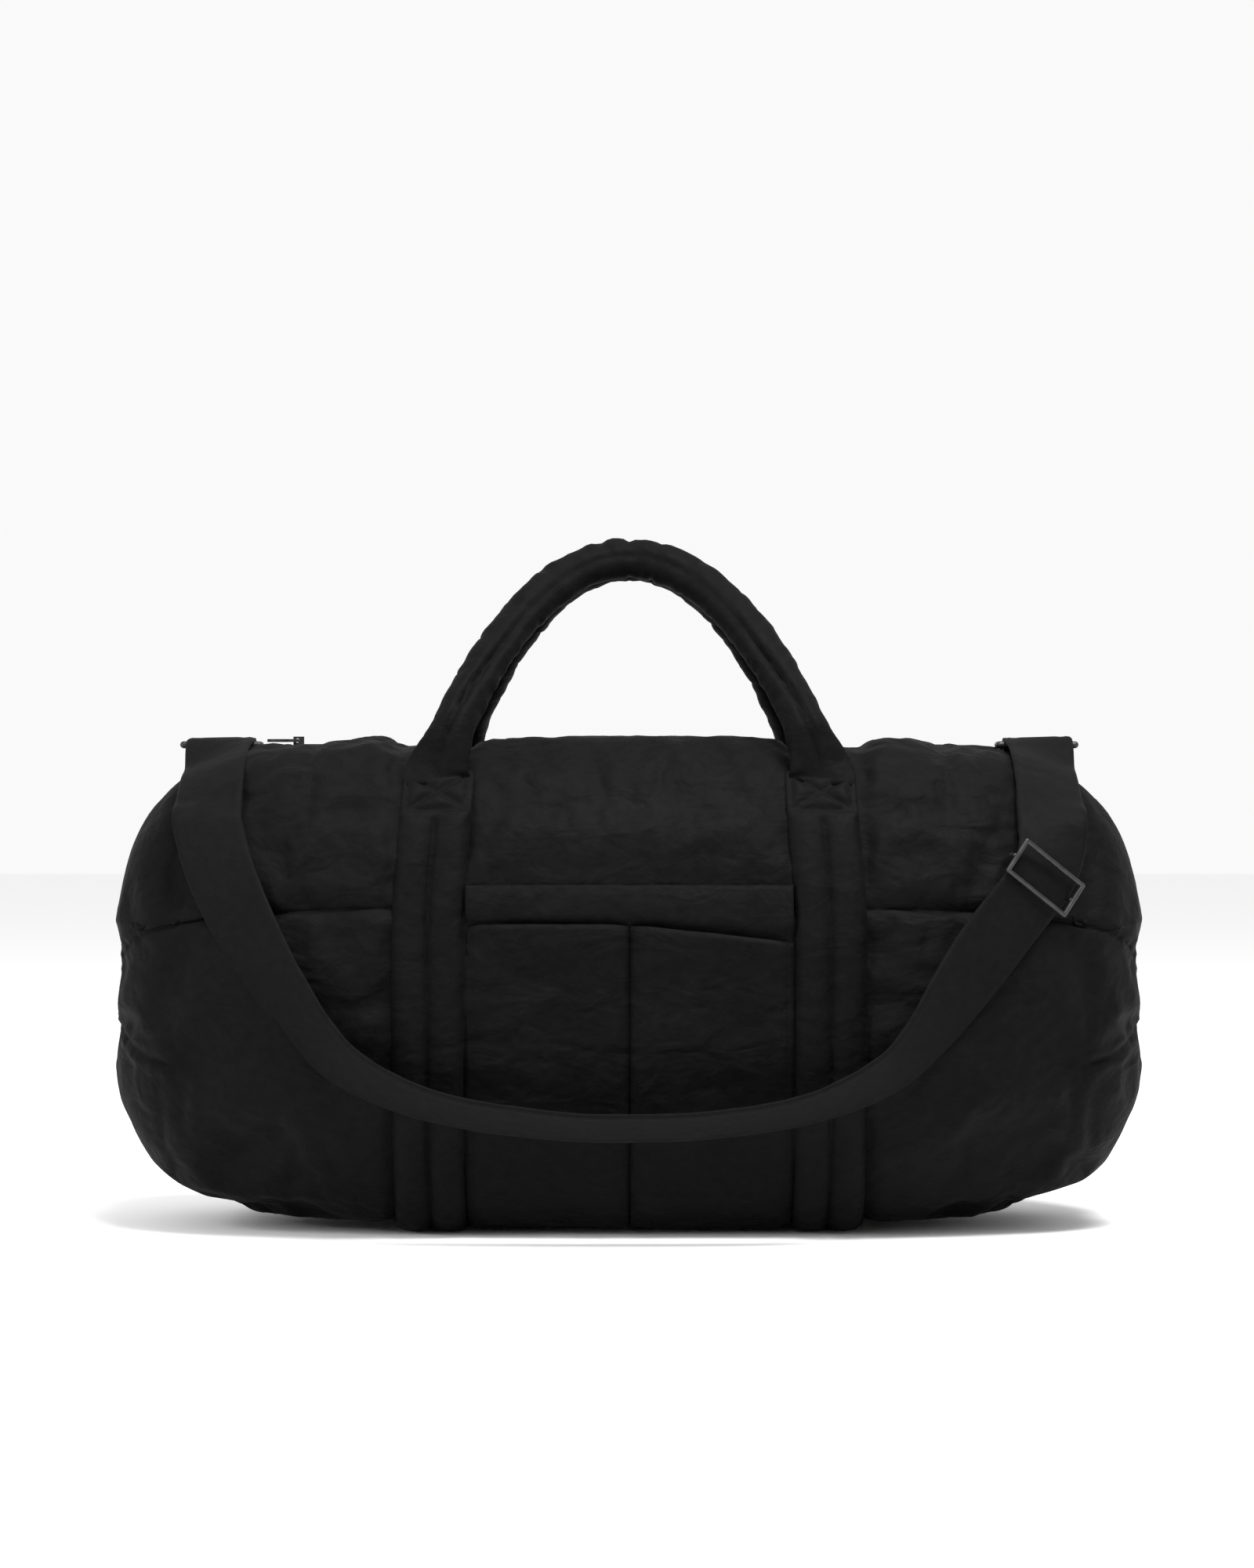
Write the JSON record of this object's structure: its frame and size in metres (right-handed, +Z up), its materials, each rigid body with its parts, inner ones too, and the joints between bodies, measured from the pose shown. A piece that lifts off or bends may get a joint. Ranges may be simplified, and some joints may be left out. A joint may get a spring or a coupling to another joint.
{
  "type": "duffel bag",
  "caption": "Soft barrel duffel bag with padded twin handles on bands round the body, a pleated front pocket, a zip mouth and a sliding-length shoulder strap.",
  "frame": {"origin": "on the floor under the middle of the bag's base", "axes": "+X along the bag to the right as seen from the front, -Y out of the pocket side, +Z up"},
  "size_m": [0.551, 0.3122, 0.3838],
  "materials": {
    "shell_cloth": "matt crinkled nylon",
    "padded_cloth": "matt crinkled nylon, padded",
    "lining": "smooth woven",
    "board": "matt",
    "foam": "foam",
    "zip_tape": "woven",
    "zip_teeth": "satin",
    "zip_metal": "satin gunmetal",
    "ring_metal": "satin gunmetal"
  },
  "bodies": {
    "bag": {"front_panel": "shell_cloth", "back_panel": "shell_cloth", "base_panel": "shell_cloth", "top_front_panel": "shell_cloth", "top_back_panel": "shell_cloth", "left_shoulder_panel": "shell_cloth", "right_shoulder_panel": "shell_cloth", "left_end_panel": "shell_cloth", "right_end_panel": "shell_cloth", "left_end_lower_panel": "shell_cloth", "right_end_lower_panel": "shell_cloth", "left_mouth_end": "shell_cloth", "right_mouth_end": "shell_cloth", "lining_body": "lining", "left_end_lining": "lining", "right_end_lining": "lining", "base_board": "board", "front_left_band": "padded_cloth", "front_right_band": "padded_cloth", "back_left_band": "padded_cloth", "back_right_band": "padded_cloth", "left_base_band": "padded_cloth", "right_base_band": "padded_cloth", "pocket_left_panel": "shell_cloth", "pocket_right_panel": "shell_cloth", "pocket_pleat": "shell_cloth", "pocket_facing": "shell_cloth", "zip_end_tapes": "zip_tape", "left_strap_anchor": "padded_cloth", "right_strap_anchor": "padded_cloth"},
    "front_lip": {"front_lip_panel": "shell_cloth", "front_lip_facing": "lining", "front_left_handle_patch": "padded_cloth", "front_right_handle_patch": "padded_cloth", "front_zip_tape": "zip_tape", "front_zip_teeth": "zip_teeth"},
    "back_lip": {"back_lip_panel": "shell_cloth", "back_lip_facing": "lining", "back_left_handle_patch": "padded_cloth", "back_right_handle_patch": "padded_cloth", "back_zip_tape": "zip_tape", "back_zip_teeth": "zip_teeth"},
    "front_handle": {"front_handle_cover": "padded_cloth", "front_handle_core": "foam"},
    "back_handle": {"back_handle_cover": "padded_cloth", "back_handle_core": "foam"},
    "zip_slider": {"zip_slider": "zip_metal"},
    "zip_puller": {"zip_puller": "zip_metal"},
    "strap_ends": {"left_ring": "ring_metal", "right_ring": "ring_metal", "left_strap_end": "padded_cloth", "right_strap_end": "padded_cloth"},
    "strap_loop": {"shoulder_strap": "padded_cloth"},
    "strap_adjuster": {"adjuster_frame": "ring_metal", "adjuster_bar": "ring_metal"}
  },
  "joints": [
    {"name": "front_lip_hinge", "type": "hinge", "parent": "bag", "child": "front_lip", "pos_m": [0, -0.116, 0.227], "axis": [1, 0, 0], "range_deg": [0, 45]},
    {"name": "back_lip_hinge", "type": "hinge", "parent": "bag", "child": "back_lip", "pos_m": [0, 0.116, 0.227], "axis": [-1, 0, 0], "range_deg": [0, 45]},
    {"name": "front_handle_fold", "type": "hinge", "parent": "front_lip", "child": "front_handle", "pos_m": [0, -0.1095, 0.2577], "axis": [1, 0, 0], "range_deg": [0, 140]},
    {"name": "back_handle_fold", "type": "hinge", "parent": "back_lip", "child": "back_handle", "pos_m": [0, 0.1095, 0.2577], "axis": [-1, 0, 0], "range_deg": [0, 140]},
    {"name": "zip_slide", "type": "slide", "parent": "bag", "child": "zip_slider", "axis": [1, 0, 0], "range_m": [0, 0.36]},
    {"name": "zip_puller_flip", "type": "hinge", "parent": "zip_slider", "child": "zip_puller", "pos_m": [-0.1872, 0, 0.271], "axis": [0, 1, 0], "range_deg": [0, 130]},
    {"name": "strap_swing", "type": "hinge", "parent": "bag", "child": "strap_ends", "pos_m": [0, 0, 0.2685], "axis": [-1, 0, 0], "range_deg": [0, 165]},
    {"name": "strap_fold", "type": "hinge", "parent": "strap_ends", "child": "strap_loop", "pos_m": [0, -0.1015, 0.2295], "axis": [-1, 0, 0], "range_deg": [0, 85]},
    {"name": "adjuster_slide", "type": "slide", "parent": "strap_loop", "child": "strap_adjuster", "axis": [-0.5995, -0.281, -0.7494], "range_m": [0, 0.03]}
  ]
}
